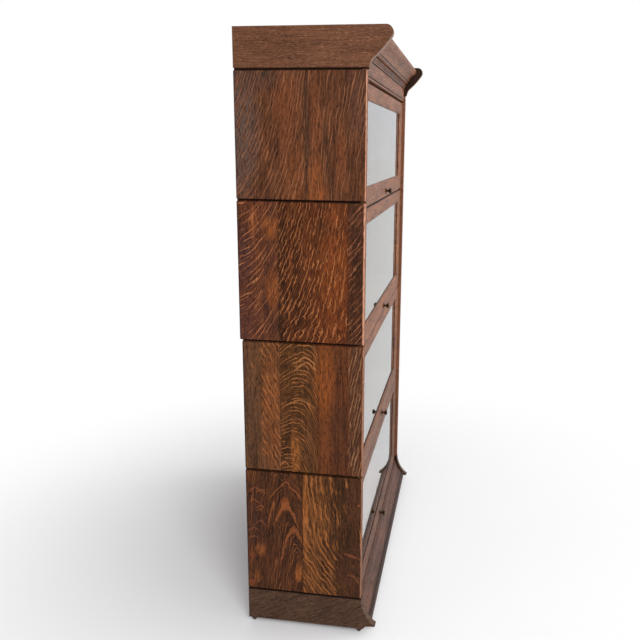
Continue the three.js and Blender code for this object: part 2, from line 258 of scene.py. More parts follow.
def grain(across, along, seed):
    """The fine streaks and the open pores of oak along a board, each from 0 to 1."""
    streaks = noise(across / STREAK_WIDTH, along / STREAK_LENGTH, seed, detail=3.0)
    pores = noise(across / PORE_WIDTH, along / PORE_LENGTH, seed + 5.3)
    return streaks.rise(0.3, 0.7), pores.fall(0.36, 0.48)


def tone(across, along, seed):
    """How light plain wood is, from 0 to 1: fine streaks over broad soft ones."""
    streaks, pores = grain(across, along, seed)
    patches = noise(across / PATCH_WIDTH, along / PATCH_LENGTH, seed + 11.7).rise(0.3, 0.7)
    return (0.6 * streaks + 0.4 * patches).at_most(1.0), streaks, pores


def polish(surface, colour, streaks, pores, flake_mask, shine, pore_dirt=0.66):
    """Finishes oak: the pores are dark and open, and the flakes are a little smoother."""
    colour = blend_colours(pores * (1.0 - flake_mask) * pore_dirt, colour, GRIME_AND_SHADE)
    roughness = 0.48 - 0.1 * flake_mask + 0.16 * pores
    height = 0.35 * streaks + 0.3 * flake_mask - 0.8 * pores
    surface.settings(Specular_IOR_Level=shine)
    return surface.finish(colour, roughness, height, OAK_RELIEF)


def spot(s, t, place, half_size):
    """1 at a place on a panel and 0 beyond half_size from it, along each of its two fields."""
    away_s = (s - place[0]) / half_size[0]
    away_t = (t - place[1]) / half_size[1]
    return (away_s * away_s + away_t * away_t).fall(0.0, 1.0)


def arch(s, t, apex, steep, reach, width):
    """A stroke that bows up to an apex, and falls away steeply on both sides within reach."""
    off = s - apex[0]
    round_top = 5 * MM
    rise = (off * off + round_top * round_top).root() - round_top
    miss = (t + steep * rise - apex[1]).size()
    return miss.fall(0.35 * width, width) * off.size().fall(0.6 * reach, reach)


def lean(s, t, slope, height):
    """Lines that lean towards the front by slope as they rise, and pass s at that height."""
    return s - slope * (t - height)


class Panel:
    """A side panel's boards from back to front with the depth at which each ends, and extras.

    glows are (place, half size, colour, amount), and strokes are (mask, colour).
    """

    def __init__(self, boards, glows=(), strokes=()):
        self.boards = boards
        self.glows = glows
        self.strokes = strokes


# On a side panel, s runs from the back edge to the front and t up from the bottom edge.

def section_1_panel(s, t):
    middle = 0.13
    back = lean(s, t, 0.56 - 2.6 * s, middle)
    front = lean(s, t, 0.02 + 1.6 * (s - 0.157), middle)
    tones = dict(dark=paint(64, 37, 24), light=paint(108, 64, 40), flake=paint(148, 94, 63))
    boards = [
        (0.157, Figure(back, t, 0.95, **tones, spacing=8, length=60, thick=0.17)),
        (None, Figure(front, t, 0.8, **tones, spacing=6.5, length=80, thick=0.17)),
    ]
    glows = [
        ((0.0, 0.15), (0.07, 0.2), paint(96, 80, 74), 0.75),
        ((0.02, 0.275), (0.16, 0.06), paint(74, 56, 48), 0.8),
        ((0.112, 0.2), (0.035, 0.12), paint(134, 72, 40), 0.4),
        ((0.135, 0.05), (0.04, 0.1), paint(136, 76, 40), 0.5),
        ((0.18, 0.02), (0.03, 0.09), paint(164, 90, 44), 0.55),
        ((0.178, 0.15), (0.016, 0.14), paint(136, 76, 42), 0.45),
        ((0.232, 0.09), (0.016, 0.08), paint(140, 78, 44), 0.45),
        ((0.157, 0.12), (0.01, 0.24), paint(66, 47, 35), 0.6),
        ((0.2, 0.1), (0.014, 0.12), paint(62, 42, 31), 0.45),
        ((0.27, 0.2), (0.03, 0.1), paint(84, 58, 48), 0.5),
    ]
    return Panel(boards, glows)


def section_2_panel(s, t):
    sweep = t - 0.3 * s - 9.5 * s * s
    slant = lean(s, t, 0.46 - 2.2 * (s - 0.096), 0.16)
    crossing = lean(s, t, 0.85, 0.16)
    dark_brown = paint(54, 29, 15)
    boards = [
        (0.094, Figure(sweep, s, 0.7 + 1.6 * s, paint(70, 42, 33), paint(114, 63, 38),
                       paint(190, 120, 76), spacing=15, length=44, thick=0.12)),
        (0.249, Figure(slant, t, 0.98 - 2.8 * (s - 0.16).at_least(0.0), dark_brown,
                       paint(100, 50, 25), paint(176, 109, 64), spacing=9.5, length=26,
                       thick=0.16)),
        (None, Figure(crossing, t, 0.86, paint(46, 26, 16), paint(82, 47, 30),
                      paint(158, 100, 68), spacing=13, length=30, thick=0.13)),
    ]
    glows = [
        ((0.0, 0.19), (0.05, 0.09), paint(76, 48, 46), 0.7),
        ((0.01, 0.05), (0.06, 0.09), paint(84, 50, 44), 0.6),
        ((0.037, 0.27), (0.012, 0.045), paint(162, 94, 54), 0.7),
        ((0.076, 0.258), (0.03, 0.032), paint(146, 82, 38), 0.7),
        ((0.08, 0.12), (0.024, 0.05), paint(146, 80, 36), 0.6),
        ((0.102, 0.16), (0.016, 0.3), paint(38, 23, 15), 0.75),
        ((0.14, 0.1), (0.03, 0.1), paint(54, 31, 18), 0.5),
        ((0.22, 0.17), (0.045, 0.14), paint(138, 70, 32), 0.6),
        ((0.215, 0.05), (0.045, 0.08), paint(128, 64, 31), 0.55),
        ((0.22, 0.29), (0.035, 0.03), paint(130, 66, 34), 0.5),
        ((0.2, 0.255), (0.04, 0.02), paint(84, 44, 24), 0.5),
    ]
    return Panel(boards, glows)


def section_3_panel(s, t):
    falling = lean(s, t, -0.5, 0.16)
    off = s - 0.121 - 0.12 * (t - 0.1)
    arches = t + 11 * off * off + 14 * off.at_least(0.0) * off
    rising = lean(s, t, 0.2, 0.16)
    boards = [
        (0.088, Figure(falling, t, 0.95 * s.rise(0.034, 0.05), paint(70, 45, 30),
                       paint(122, 79, 50), paint(176, 106, 56), spacing=11, length=40,
                       thick=0.17)),
        (0.177, Figure(arches, s, 0.92, paint(62, 38, 20), paint(94, 58, 31),
                       paint(170, 106, 60), spacing=10, length=28, thick=0.16)),
        (None, Figure(rising, t, 0.95 * s.rise(0.24, 0.252), paint(68, 38, 23),
                      paint(116, 65, 37), paint(164, 114, 80), spacing=7.5, length=46,
                      thick=0.2)),
    ]
    glows = [
        ((0.0, 0.18), (0.05, 0.2), paint(100, 74, 58), 0.35),
        ((0.066, 0.17), (0.03, 0.2), paint(136, 76, 40), 0.5),
        ((0.122, 0.05), (0.014, 0.075), paint(160, 94, 44), 0.75),
        ((0.1, 0.07), (0.013, 0.045), paint(46, 28, 15), 0.7),
        ((0.155, 0.06), (0.02, 0.08), paint(92, 58, 38), 0.5),
        ((0.192, 0.23), (0.032, 0.13), paint(148, 80, 36), 0.7),
        ((0.192, 0.06), (0.03, 0.1), paint(128, 70, 36), 0.55),
        ((0.225, 0.12), (0.03, 0.12), paint(74, 44, 30), 0.4),
        ((0.264, 0.17), (0.02, 0.26), paint(66, 44, 33), 0.8),
    ]
    strokes = [
        (arch(s, t, (0.147, 0.285), 0.8, 0.03, 3.4 * MM), paint(186, 120, 70)),
        (arch(s, t, (0.15, 0.272), 0.8, 0.03, 3.2 * MM), paint(180, 116, 66)),
        (arch(s, t, (0.133, 0.182), 0.5, 0.045, 2.4 * MM), paint(166, 106, 64)),
        (arch(s, t, (0.097, 0.026), 1.6, 0.011, 3.2 * MM), paint(170, 106, 60)),
    ]
    return Panel(boards, glows, strokes)


def section_4_panel(s, t):
    centre = 0.094 + 0.24 * (0.246 - t)
    off = s - centre
    cathedral = t + 2.6 * (off * off + (9 * MM) * (9 * MM)).root()
    stripes = s + 0.17 * t + 0.55 * (t - 0.13).at_most(0.0)
    orange = paint(150, 86, 48)
    rust = paint(134, 78, 48)
    boards = [
        (0.139, Figure(cathedral, s, 0.62, paint(43, 26, 17), paint(94, 55, 33),
                       paint(150, 88, 50), spacing=10, length=16, thick=0.2)),
        (None, Figure(stripes, t, 0.8 * s.fall(0.2, 0.24) + 0.25, paint(46, 29, 17),
                      paint(92, 56, 32), paint(166, 102, 54), spacing=12, length=56,
                      thick=0.27)),
    ]
    glows = [
        ((0.0, 0.2), (0.06, 0.12), paint(78, 48, 40), 0.5),
        ((0.033, 0.11), (0.016, 0.026), paint(150, 86, 46), 0.75),
        ((0.009, 0.092), (0.016, 0.012), paint(134, 72, 42), 0.6),
        ((0.026, 0.034), (0.013, 0.022), paint(144, 86, 44), 0.7),
        ((0.008, 0.015), (0.012, 0.012), paint(150, 78, 44), 0.6),
        ((0.096, 0.236), (0.013, 0.022), paint(160, 86, 44), 0.75),
        ((0.127, 0.055), (0.011, 0.032), paint(172, 98, 48), 0.85),
        ((0.115, 0.2), (0.022, 0.024), paint(50, 32, 22), 0.85),
        ((0.122, 0.13), (0.014, 0.03), paint(54, 34, 24), 0.8),
        ((0.146, 0.22), (0.009, 0.16), paint(172, 102, 52), 0.8),
        ((0.17, 0.19), (0.03, 0.13), paint(132, 80, 42), 0.4),
        ((0.16, 0.05), (0.035, 0.08), paint(128, 78, 40), 0.35),
        ((0.265, 0.08), (0.04, 0.1), paint(80, 48, 34), 0.75),
        ((0.262, 0.25), (0.03, 0.09), paint(94, 56, 37), 0.6),
    ]
    strokes = [
        (arch(s, t, (0.098, 0.291), 1.2, 0.045, 3.2 * MM), orange),
        (arch(s, t, (0.098, 0.236), 2.2, 0.036, 10 * MM), orange),
        (arch(s, t, (0.117, 0.172), 2.2, 0.024, 11 * MM), paint(148, 84, 47)),
        (arch(s, t, (0.035, 0.226), 1.2, 0.011, 2.4 * MM), orange),
        (arch(s, t, (0.035, 0.217), 1.2, 0.011, 2.2 * MM), orange),
        (arch(s, t, (0.022, 0.272), 1.0, 0.02, 3.0 * MM), paint(140, 80, 48)),
        (arch(s, t, (0.036, 0.268), 1.4, 0.014, 3.0 * MM), paint(146, 84, 50)),
        (arch(s, t, (0.02, 0.24), 0.8, 0.018, 2.8 * MM), paint(134, 76, 46)),
        (arch(s, t, (0.035, 0.187), 1.4, 0.018, 2.8 * MM), paint(128, 76, 50)),
        (arch(s, t, (0.018, 0.165), 0.7, 0.018, 2.8 * MM), paint(124, 74, 50)),
        (arch(s, t, (0.016, 0.144), 0.7, 0.018, 2.8 * MM), paint(124, 74, 50)),
        (arch(s, t, (0.07, 0.232), 4.0, 0.022, 14 * MM) * s.fall(0.068, 0.072), orange),
        (arch(s, t, (0.098, 0.13), 4.5, 0.02, 16 * MM) * s.fall(0.097, 0.101), rust),
        (arch(s, t, (0.075, 0.08), 7.0, 0.014, 14 * MM) * s.fall(0.074, 0.078), rust),
        (arch(s, t, (0.24, 0.119), 0.35, 0.04, 4.0 * MM) * s.rise(0.236, 0.246), rust),
        (arch(s, t, (0.25, 0.062), 0.25, 0.03, 2.2 * MM) * s.rise(0.244, 0.254), rust),
        (arch(s, t, (0.281, 0.248), 0.1, 0.012, 3.0 * MM), rust),
    ]
    return Panel(boards, glows, strokes)


PANELS = {1: section_1_panel, 2: section_2_panel, 3: section_3_panel, 4: section_4_panel}
RESTLESS = {1: 0.7, 2: 0.75, 3: 1.0, 4: 1.6}  # how much each section's flakes wander
# The paleness of the front arris is wear together with a painted highlight.
ARRIS_WEAR_AND_HIGHLIGHT = {1: 0.75, 2: 0.85, 3: 0.4, 4: 0.3}  # how pale its front outer edges are
ARRIS_REACH = {1: 2.4 * MM, 2: 4.4 * MM, 3: 2.4 * MM, 4: 2.4 * MM}
SEAM = 1.3 * MM


def join_boards(boards, s):
    """One set of figure fields and colours for a panel's boards, and its dark seam lines.

    Each board's fields are shifted, so that no flake carries on across a seam.
    """
    start, first = boards[0]
    lines, along, cover = first.lines, first.along, s * 0.0 + first.cover
    thick = s * 0.0 + first.thick
    dark, light, flake = first.dark, first.light, first.flake
    seams = s * 0.0
    for number, (end, figure) in enumerate(boards[1:], 1):
        mask = s.rise(start - 0.2 * MM, start + 0.2 * MM)
        lines = choose(mask, lines, figure.lines + 9.0 * number)
        along = choose(mask, along, figure.along + 9.0 * number)
        cover = choose(mask, cover, figure.cover)
        thick = choose(mask, thick, figure.thick)
        dark = blend_colours(mask, dark, figure.dark)
        light = blend_colours(mask, light, figure.light)
        flake = blend_colours(mask, flake, figure.flake)
        seams = seams + (s - start).size().fall(0.0, SEAM)
        start = end
    return lines, along, cover, thick, dark, light, flake, seams


def bend(s, t, seed, sway):
    """Both fields moved about a little by sway, so that no line of the figure is quite even."""
    wander = noise(s / (22 * MM), t / (34 * MM), seed + 20, detail=2.0) - 0.5
    ripple = noise(s / (7 * MM), t / (11 * MM), seed + 27) - 0.5
    return (s + sway * (7 * MM * wander + 2.5 * MM * ripple),
            t + sway * (6 * MM * wander - 2.5 * MM * ripple))


def glow_through(glows, colour, s, t, threads):
    """Stains a colour with a panel's glows, which show best along the threads of its grain."""
    for place, half_size, tint, amount in glows:
        glow = spot(s, t, place, half_size) * threads
        colour = blend_colours((amount * glow).at_most(1.0), colour, tint)
    return colour


def shade_side_edges(colour, s, t, height):
    """Painted shade along a side panel's back edge, and along its joints below and above."""
    colour = blend_colours(0.75 * s.fall(0.0, 3.4 * MM), colour, GRIME_AND_SHADE)
    joints = t.fall(1.2 * MM, 3.6 * MM) + t.rise(height - 3 * MM, height - 1 * MM)
    return blend_colours(0.85 * joints.at_most(1.0), colour, GRIME_AND_SHADE)


def light_and_wear_front(colour, s, depth, on_face, outer, section):
    """Paints light on a side panel's front edge and the lip behind it, and pales its outer arris
    with wear and a painted highlight.
    """
    # Painted light: the front edge and the lip behind it are lit from the front.
    edge = (1.0 - on_face) * s.rise(depth - 6 * MM, depth)
    colour = blend_colours(0.7 * edge, colour, LIT_FRONT_EDGE)
    lip = on_face * (1.0 - outer) * s.rise(depth - 14 * MM, depth - 8 * MM)
    colour = blend_colours(0.7 * lip, colour, LIT_FRONT_EDGE)
    reach = ARRIS_REACH[section]
    # The outer arris: worn, and given a painted highlight.
    worn_and_highlit = s.rise(depth - reach, depth - 0.5 * reach) * outer
    return blend_colours(worn_and_highlit * ARRIS_WEAR_AND_HIGHLIGHT[section], colour, WORN_AND_HIGHLIT)


def oak_side(section, side):
    """A side panel: several quarter-sawn boards, each with its own run of flakes."""
    low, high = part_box(f"section_{section}_side_{side}")
    surface = Surface(f"oak_side_{section}_{side}")
    seed = 3.1 * section + (0.0 if side == "left" else 40.0)
    s = high.y - surface.y
    t = surface.z - low.z
    s_bent, t_bent = bend(s, t, seed, RESTLESS[section])
    panel = PANELS[section](s_bent, t_bent)
    parts = join_boards(panel.boards, s)
    lines, along, cover, thick, dark, light, flake, seams = parts
    on_face = surface.facing_x.rise(0.6, 0.8)
    outside = max(abs(low.x), abs(high.x))
    outer = surface.x.size().rise(outside - 4.5 * MM, outside - 3 * MM)
    mask = flakes(lines, along, cover, thick, seed) * on_face
    plain, streaks, pores = tone(s + surface.x, t, seed)
    threads = noise(s / (3.2 * MM), t / (30 * MM), seed + 33, detail=2.0).rise(0.32, 0.62)
    colour = blend_colours(plain, dark, light)
    colour = glow_through(panel.glows, colour, s_bent, t_bent, (0.3 + 0.9 * threads) * on_face)
    colour = blend_colours(mask * (0.6 + 0.3 * streaks), colour, flake)
    for stroke, tint in panel.strokes:
        colour = blend_colours(stroke * on_face * (0.6 + 0.35 * streaks), colour, tint)
    colour = blend_colours(seams * on_face * 0.6, colour, GRIME_AND_SHADE)
    colour = shade_side_edges(colour, s, t, high.z - low.z)
    colour = light_and_wear_front(colour, s, high.y - low.y, on_face, outer, section)
    return polish(surface, colour, streaks, pores, mask, SIDE_SHINE)


def plain_oak(name, axis, dark, light, flake, cover=0.3, seed=0.0, spacing=5.0, length=20.0,
              slope=0.0, shine=FRONT_SHINE, painted_shade=None, painted_sheen=None, pore_dirt=0.66, lean_out=1.0):
    """Oak with its grain along one axis and short flakes over it. slope tilts the grain.

    If given, the shade mask paints dark shade and the sheen mask a pale sheen. lean_out is -1
    on a face that comes forward as it rises, so that its grain still crosses it evenly.
    """
    surface = Surface(name)
    if axis == "x":
        along = surface.x
        across = surface.z + lean_out * surface.y
    elif axis == "y":
        along = surface.y
        across = surface.z + surface.x
    else:
        along = surface.z
        across = surface.x + surface.y
    across = across + slope * along
    wander = noise(across / (9 * MM), along / (22 * MM), seed + 20) - 0.5
    mask = flakes((across + 5 * MM * wander) / (spacing * MM), along / (length * MM),
                  across * 0.0 + cover, 0.22, seed)
    plain, streaks, pores = tone(across, along, seed)
    colour = blend_colours(plain, dark, light)
    colour = blend_colours(mask * (0.5 + 0.3 * streaks), colour, flake)
    # Painted sheen, where a mask for it is given.
    if painted_sheen:
        colour = blend_colours(0.6 * painted_sheen(surface), colour, NOSE_SHEEN)
    # Painted shade, where a mask for it is given.
    if painted_shade:
        colour = blend_colours(painted_shade(surface), colour, GRIME_AND_SHADE)
    return polish(surface, colour, streaks, pores, mask, shine, pore_dirt)


# ---------------------------------------------------------------- glass and metal

def pane_glass():
    """Clear old window glass with a faint green tint. Lamps shine through it."""
    surface = Surface("pane_glass")
    surface.settings(IOR=1.43, Transmission_Weight=1.0)
    waves = noise(surface.x / (60 * MM), surface.z / (90 * MM), 4.0)
    smears = noise(surface.x / (22 * MM), surface.z / (35 * MM), 8.0, detail=4.0)
    tint = blend_colours(smears, paint(250, 252, 250), paint(240, 246, 243))
    surface.finish(tint, 0.01 + 0.05 * smears.rise(0.55, 0.75), waves, 0.05 * MM)
    path = surface.tree.nodes.new("ShaderNodeLightPath")
    clear = surface.tree.nodes.new("ShaderNodeBsdfTransparent")
    either = surface.tree.nodes.new("ShaderNodeMixShader")
    surface.tree.links.new(path.outputs["Is Shadow Ray"], either.inputs[0])
    surface.tree.links.new(surface.shader.outputs["BSDF"], either.inputs[1])
    surface.tree.links.new(clear.outputs["BSDF"], either.inputs[2])
    surface.tree.links.new(either.outputs["Shader"], surface.output.inputs["Surface"])
    return surface.material


def metal(name, bright, dull, metallic, rough, seed):
    """Worn metal: bright where it is handled, dull in patches."""
    surface = Surface(name)
    surface.settings(Metallic=metallic)
    patches = noise(surface.x / (4 * MM), surface.z / (4 * MM) + surface.y / (5 * MM), seed,
                    detail=4.0)
    tarnish = patches.rise(0.42, 0.62)
    colour = blend_colours(tarnish, bright, dull)
    return surface.finish(colour, rough + 0.25 * tarnish, patches, 0.05 * MM)


# ---------------------------------------------------------------- the CAD nodes' looks

BEVEL, DOOR_BEVEL, BASE_BEVEL, CROWN_BEVEL = 0.9 * MM, 0.6 * MM, 0.5 * MM, 0.4 * MM
BEVEL_ANGLE = math.radians(35)
# The shortest edge that is eased: on the end boards, on most pieces, and on the side panels,
# whose grooves are all shorter than this.
ANY_EDGE, LONG_EDGE, PANEL_EDGE = 0.0, 40 * MM, 250 * MM


def mesh_nodes(name):
    """A new geometry node group, with the nodes that bring a mesh in and take it out."""
    group = bpy.data.node_groups.new(name, "GeometryNodeTree")
    group.interface.new_socket("Geometry", in_out="INPUT", socket_type="NodeSocketGeometry")
    group.interface.new_socket("Geometry", in_out="OUTPUT", socket_type="NodeSocketGeometry")
    return group, group.nodes.new("NodeGroupInput"), group.nodes.new("NodeGroupOutput")


def more_than(group, socket, limit):
    node = group.nodes.new("FunctionNodeCompare")
    node.data_type = "FLOAT"
    node.operation = "GREATER_THAN"
    group.links.new(socket, node.inputs[0])
    node.inputs[1].default_value = limit
    return node.outputs["Result"]


def edge_marks(shortest):
    """Geometry nodes that mark each sharp outward edge longer than this for the bevel."""
    group, start, end = mesh_nodes("edge_marks")
    angle = group.nodes.new("GeometryNodeInputMeshEdgeAngle")
    ends = group.nodes.new("GeometryNodeInputMeshEdgeVertices")
    length = group.nodes.new("ShaderNodeVectorMath")
    length.operation = "DISTANCE"
    group.links.new(ends.outputs["Position 1"], length.inputs[0])
    group.links.new(ends.outputs["Position 2"], length.inputs[1])
    both = group.nodes.new("FunctionNodeBooleanMath")
    both.operation = "AND"
    group.links.new(more_than(group, angle.outputs["Signed Angle"], BEVEL_ANGLE), both.inputs[0])
    group.links.new(more_than(group, length.outputs["Value"], shortest), both.inputs[1])
    store = group.nodes.new("GeometryNodeStoreNamedAttribute")
    store.data_type = "FLOAT"
    store.domain = "EDGE"
    store.inputs["Name"].default_value = "bevel_weight_edge"
    group.links.new(start.outputs[0], store.inputs["Geometry"])
    group.links.new(both.outputs["Boolean"], store.inputs["Value"])
    group.links.new(store.outputs["Geometry"], end.inputs[0])
    return group


def smooth_group():
    """Geometry nodes that shade a mesh smooth, except across its sharp edges."""
    group, start, end = mesh_nodes("smooth_but_sharp_edges")
    angle = group.nodes.new("GeometryNodeInputMeshEdgeAngle")
    sharp = more_than(group, angle.outputs["Unsigned Angle"], BEVEL_ANGLE)
    all_smooth = group.nodes.new("GeometryNodeSetShadeSmooth")
    keep_sharp = group.nodes.new("GeometryNodeSetShadeSmooth")
    keep_sharp.domain = "EDGE"
    keep_sharp.inputs["Shade Smooth"].default_value = False
    group.links.new(start.outputs[0], all_smooth.inputs["Geometry"])
    group.links.new(all_smooth.outputs["Geometry"], keep_sharp.inputs["Geometry"])
    group.links.new(sharp, keep_sharp.inputs["Selection"])
    group.links.new(keep_sharp.outputs["Geometry"], end.inputs[0])
    return group


SMOOTH = smooth_group()
MARKS = {shortest: edge_marks(shortest) for shortest in (ANY_EDGE, LONG_EDGE, PANEL_EDGE)}


def soften(piece, width, shortest):
    """Welds a piece's faces, eases its longer outward edges, and shades its curves smooth."""
    weld = piece.modifiers.new("weld", "WELD")
    weld.merge_threshold = 0.01 * MM
    flat = piece.modifiers.new("flat", "DECIMATE")
    flat.decimate_type = "DISSOLVE"
    flat.angle_limit = math.radians(0.5)
    if width:
        marks = piece.modifiers.new("marks", "NODES")
        marks.node_group = MARKS[shortest]
        bevel = piece.modifiers.new("bevel", "BEVEL")
        bevel.width = width
        bevel.segments = 3
        bevel.limit_method = "WEIGHT"
        bevel.use_clamp_overlap = True
    smooth = piece.modifiers.new("smooth", "NODES")
    smooth.node_group = SMOOTH


def dress(node, material, width=BEVEL, shortest=LONG_EDGE):
    """Gives a CAD node its material, and eases those of its edges that are longer than this."""
    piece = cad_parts[node]
    for slot in piece.material_slots:
        slot.material = material
    soften(piece, width, shortest)


def door_shade(surface):
    """Painted shade on door members' edges and glass reveals, and darker towards the bottom."""
    edges = 0.85 * surface.facing_y.fall(0.6, 0.85)
    return edges.at_least(0.5 * surface.z.fall(0.1, 0.75))


def nose_sheen(surface):
    """Where an end board's round front edge gets a painted sheen: it faces neither side."""
    return surface.facing_x.fall(0.5, 0.8) * surface.y.fall(FRONT - 12 * MM, FRONT)


def toe_sheen(surface):
    """The same painted sheen, but fainter, on the base's end boards."""
    return 0.15 * nose_sheen(surface)


def end_shade(joint):
    """Painted shade on an end board's inner face, and along the joint that it meets at this
    height.
    """
    def painted_shade(surface):
        inside = surface.x.size().fall(INNER_FACE, INNER_FACE + 2 * MM)
        return 0.85 * inside.at_least((surface.z - joint).size().fall(1 * MM, 3 * MM))
    return painted_shade


def groove_shade(levels, shaded_below=0.0):
    """Painted shade in a moulding's grooves, which lie at these heights, and below a shaded
    height.
    """
    def painted_shade(surface):
        lines = surface.z * 0.0
        for level in levels:
            lines = lines + (surface.z - level).size().fall(0.5 * MM, 1.7 * MM)
        shade_variation = noise(surface.x / (40 * MM), surface.z / (6 * MM), 3.0, detail=3.0)
        lines = lines.at_least(0.8 * surface.z.fall(shaded_below, shaded_below + 3 * MM))
        return lines.at_most(1.0) * (0.55 + 0.4 * shade_variation)
    return painted_shade


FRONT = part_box("section_1_side_left")[0].y
INNER_FACE = abs(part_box("crown_end_left")[1].x)
# Heights of the mouldings' grooves above the undersides of the crown and the base.
CROWN_GROOVES = tuple(rise * MM for rise in (-11.6, -5.2, 22.2, 26.8, 31.3, 36.6, 43.0))
BASE_GROOVES = (21.5 * MM, 25 * MM)
# Up to this height the base's front roll is painted in shade.
SHADED_FOOT = 20 * MM


def dress_all():
    front = dict(dark=paint(94, 53, 31), light=paint(160, 99, 60), flake=paint(198, 144, 100))
    under_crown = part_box("crown_end_left")[0].z
    under_base, over_base = (corner.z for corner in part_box("base_end_left"))
    crown_lines = [under_crown + rise for rise in CROWN_GROOVES]
    base_lines = [under_base + rise for rise in BASE_GROOVES]
    moulding = plain_oak("oak_moulding", "x", **front, cover=0.3, seed=50.0, shine=0.36,
                         painted_shade=groove_shade(crown_lines), lean_out=-1.0)
    base = plain_oak("oak_base_moulding", "x", paint(64, 39, 28), paint(112, 71, 51),
                     paint(132, 89, 66), cover=0.25, seed=55.0,
                     painted_shade=groove_shade(base_lines, under_base + SHADED_FOOT))
    rail = plain_oak("oak_rail", "x", **front, cover=0.35, seed=60.0, painted_shade=door_shade)
    stile = plain_oak("oak_stile", "z", **front, cover=0.35, seed=70.0, painted_shade=door_shade)
    crown_end = plain_oak("oak_crown_end", "y", paint(86, 54, 39), paint(122, 80, 57),
                          paint(150, 106, 80), cover=0.6, seed=80.0, spacing=3.8, length=10,
                          shine=SIDE_SHINE, painted_shade=end_shade(under_crown), painted_sheen=nose_sheen,
                          pore_dirt=0.36)
    base_end = plain_oak("oak_base_end", "y", paint(66, 46, 35), paint(98, 71, 55),
                         paint(122, 90, 71), cover=0.5, seed=90.0, slope=0.5,
                         shine=SIDE_SHINE, painted_shade=end_shade(over_base), painted_sheen=toe_sheen)
    inner = plain_oak("oak_inner", "x", paint(92, 58, 36), paint(140, 94, 60),
                      paint(160, 112, 74), cover=0.15, seed=100.0)
    back = plain_oak("oak_back", "z", paint(92, 58, 36), paint(136, 92, 60),
                     paint(150, 104, 70), cover=0.12, seed=110.0)
    glass = pane_glass()
    brass = metal("aged_brass", paint(84, 62, 36), paint(32, 24, 16), 1.0, 0.32, 2.0)
    steel = metal("steel", paint(170, 168, 162), paint(104, 98, 92), 1.0, 0.3, 3.0)
    iron = metal("iron", paint(92, 88, 84), paint(58, 46, 38), 0.9, 0.45, 5.0)
    for side in SIDES:
        dress(f"crown_end_{side}", crown_end, shortest=ANY_EDGE)
        dress(f"base_end_{side}", base_end, shortest=ANY_EDGE)
        for place in ("front", "back"):
            dress(f"glide_{place}_{side}", iron, 0)
    dress("crown_front_moulding", moulding, CROWN_BEVEL)
    dress("crown_top_board", moulding)
    dress("base_front_moulding", base, BASE_BEVEL)
    dress("base_back_rail", inner)
    for section in SECTIONS:
        for side in SIDES:
            panel = oak_side(section, side)
            dress(f"section_{section}_side_{side}", panel, shortest=PANEL_EDGE)
            dress(f"door_{section}_stile_{side}", stile, DOOR_BEVEL)
        dress(f"section_{section}_top_board", inner)
        dress(f"section_{section}_bottom_board", inner)
        dress(f"section_{section}_back_panel", back)
        dress(f"door_{section}_top_rail", rail, DOOR_BEVEL)
        dress(f"door_{section}_bottom_rail", rail, DOOR_BEVEL)
        dress(f"door_{section}_glass", glass, 0)
        dress(f"door_{section}_knob", brass, 0)
        dress(f"door_{section}_pivot_rod", steel, 0)
    return dict(inner=inner, rail=rail, stile=stile)


woods = dress_all()


# ---------------------------------------------------------------- pieces the CAD leaves out

def new_piece(name, mesh, material, body):
    mesh.materials.append(material)
    piece = bpy.data.objects.new(name, mesh)
    bpy.context.scene.collection.objects.link(piece)
    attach(piece, body)
    return piece


def bar(name, start, end, profile, out, up):
    """A mesh of a profile drawn along out and up, swept straight from start to end."""
    mesh = bpy.data.meshes.new(name)
    net = bmesh.new()
    rings = []
    for corner in (start, end):
        rings.append([net.verts.new(corner + out * across + up * rise)
                      for across, rise in profile])
    net.faces.new(rings[0])
    net.faces.new(rings[1])
    for number in range(len(profile)):
        after = (number + 1) % len(profile)
        net.faces.new((rings[0][number], rings[0][after], rings[1][after], rings[1][number]))
    bmesh.ops.recalc_face_normals(net, faces=net.faces[:])
    net.to_mesh(mesh)
    net.free()
    return mesh


def quarter_round(width, height, round_corner, steps=5):
    """A rectangle from (0, 0) whose far corner is rounded."""
    profile = [(0.0, 0.0), (width, 0.0)]
    for step in range(steps + 1):
        angle = step / steps * math.pi / 2
        profile.append((width - round_corner * (1 - math.cos(angle)),
                        height - round_corner * (1 - math.sin(angle))))
    profile.append((0.0, height))
    return profile


BEAD_WIDTH, BEAD_ROUND, BEAD_INSET = 6.4 * MM, 4 * MM, 0.5 * MM


def glazing_beads():
    """Four quarter-round beads hold each glass in its rabbet, behind the glass."""
    for section in SECTIONS:
        low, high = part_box(f"door_{section}_glass")
        door_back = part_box(f"door_{section}_top_rail")[1].y
        rest = high.y + CLEAR
        height = door_back - BEAD_INSET - rest
        profile = quarter_round(BEAD_WIDTH, height, BEAD_ROUND)
        back = Vector((0, 1, 0))
        for place, z, inward in (("top", high.z, -1), ("bottom", low.z, 1)):
            start = Vector((low.x + CLEAR, rest, z))
            end = Vector((high.x - CLEAR, rest, z))
            mesh = bar("bead", start, end, profile, Vector((0, 0, inward)), back)
            new_piece(f"door_{section}_bead_{place}", mesh, woods["rail"],
                      f"door_{section}")
        for place, x, inward in (("left", low.x, 1), ("right", high.x, -1)):
            start = Vector((x, rest, low.z + BEAD_WIDTH + CLEAR))
            end = Vector((x, rest, high.z - BEAD_WIDTH - CLEAR))
            mesh = bar("bead", start, end, profile, Vector((inward, 0, 0)), back)
            new_piece(f"door_{section}_bead_{place}", mesh, woods["stile"],
                      f"door_{section}")


RAIL_ROUND = 2 * MM


def crown_back_rail():
    """A plain rail across the back of the crown, under its top board."""
    top_low, top_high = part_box("crown_top_board")
    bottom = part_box("crown_end_left")[0].z
    thickness = 16 * MM
    inset = 3 * MM
    height = top_low.z - bottom - 2 * CLEAR
    profile = quarter_round(thickness, height, RAIL_ROUND)
    start = Vector((top_low.x, top_high.y - inset, bottom + CLEAR))
    end = Vector((top_high.x, top_high.y - inset, bottom + CLEAR))
    mesh = bar("rail", start, end, profile, Vector((0, -1, 0)), Vector((0, 0, 1)))
    new_piece("crown_back_rail", mesh, woods["inner"], "case")


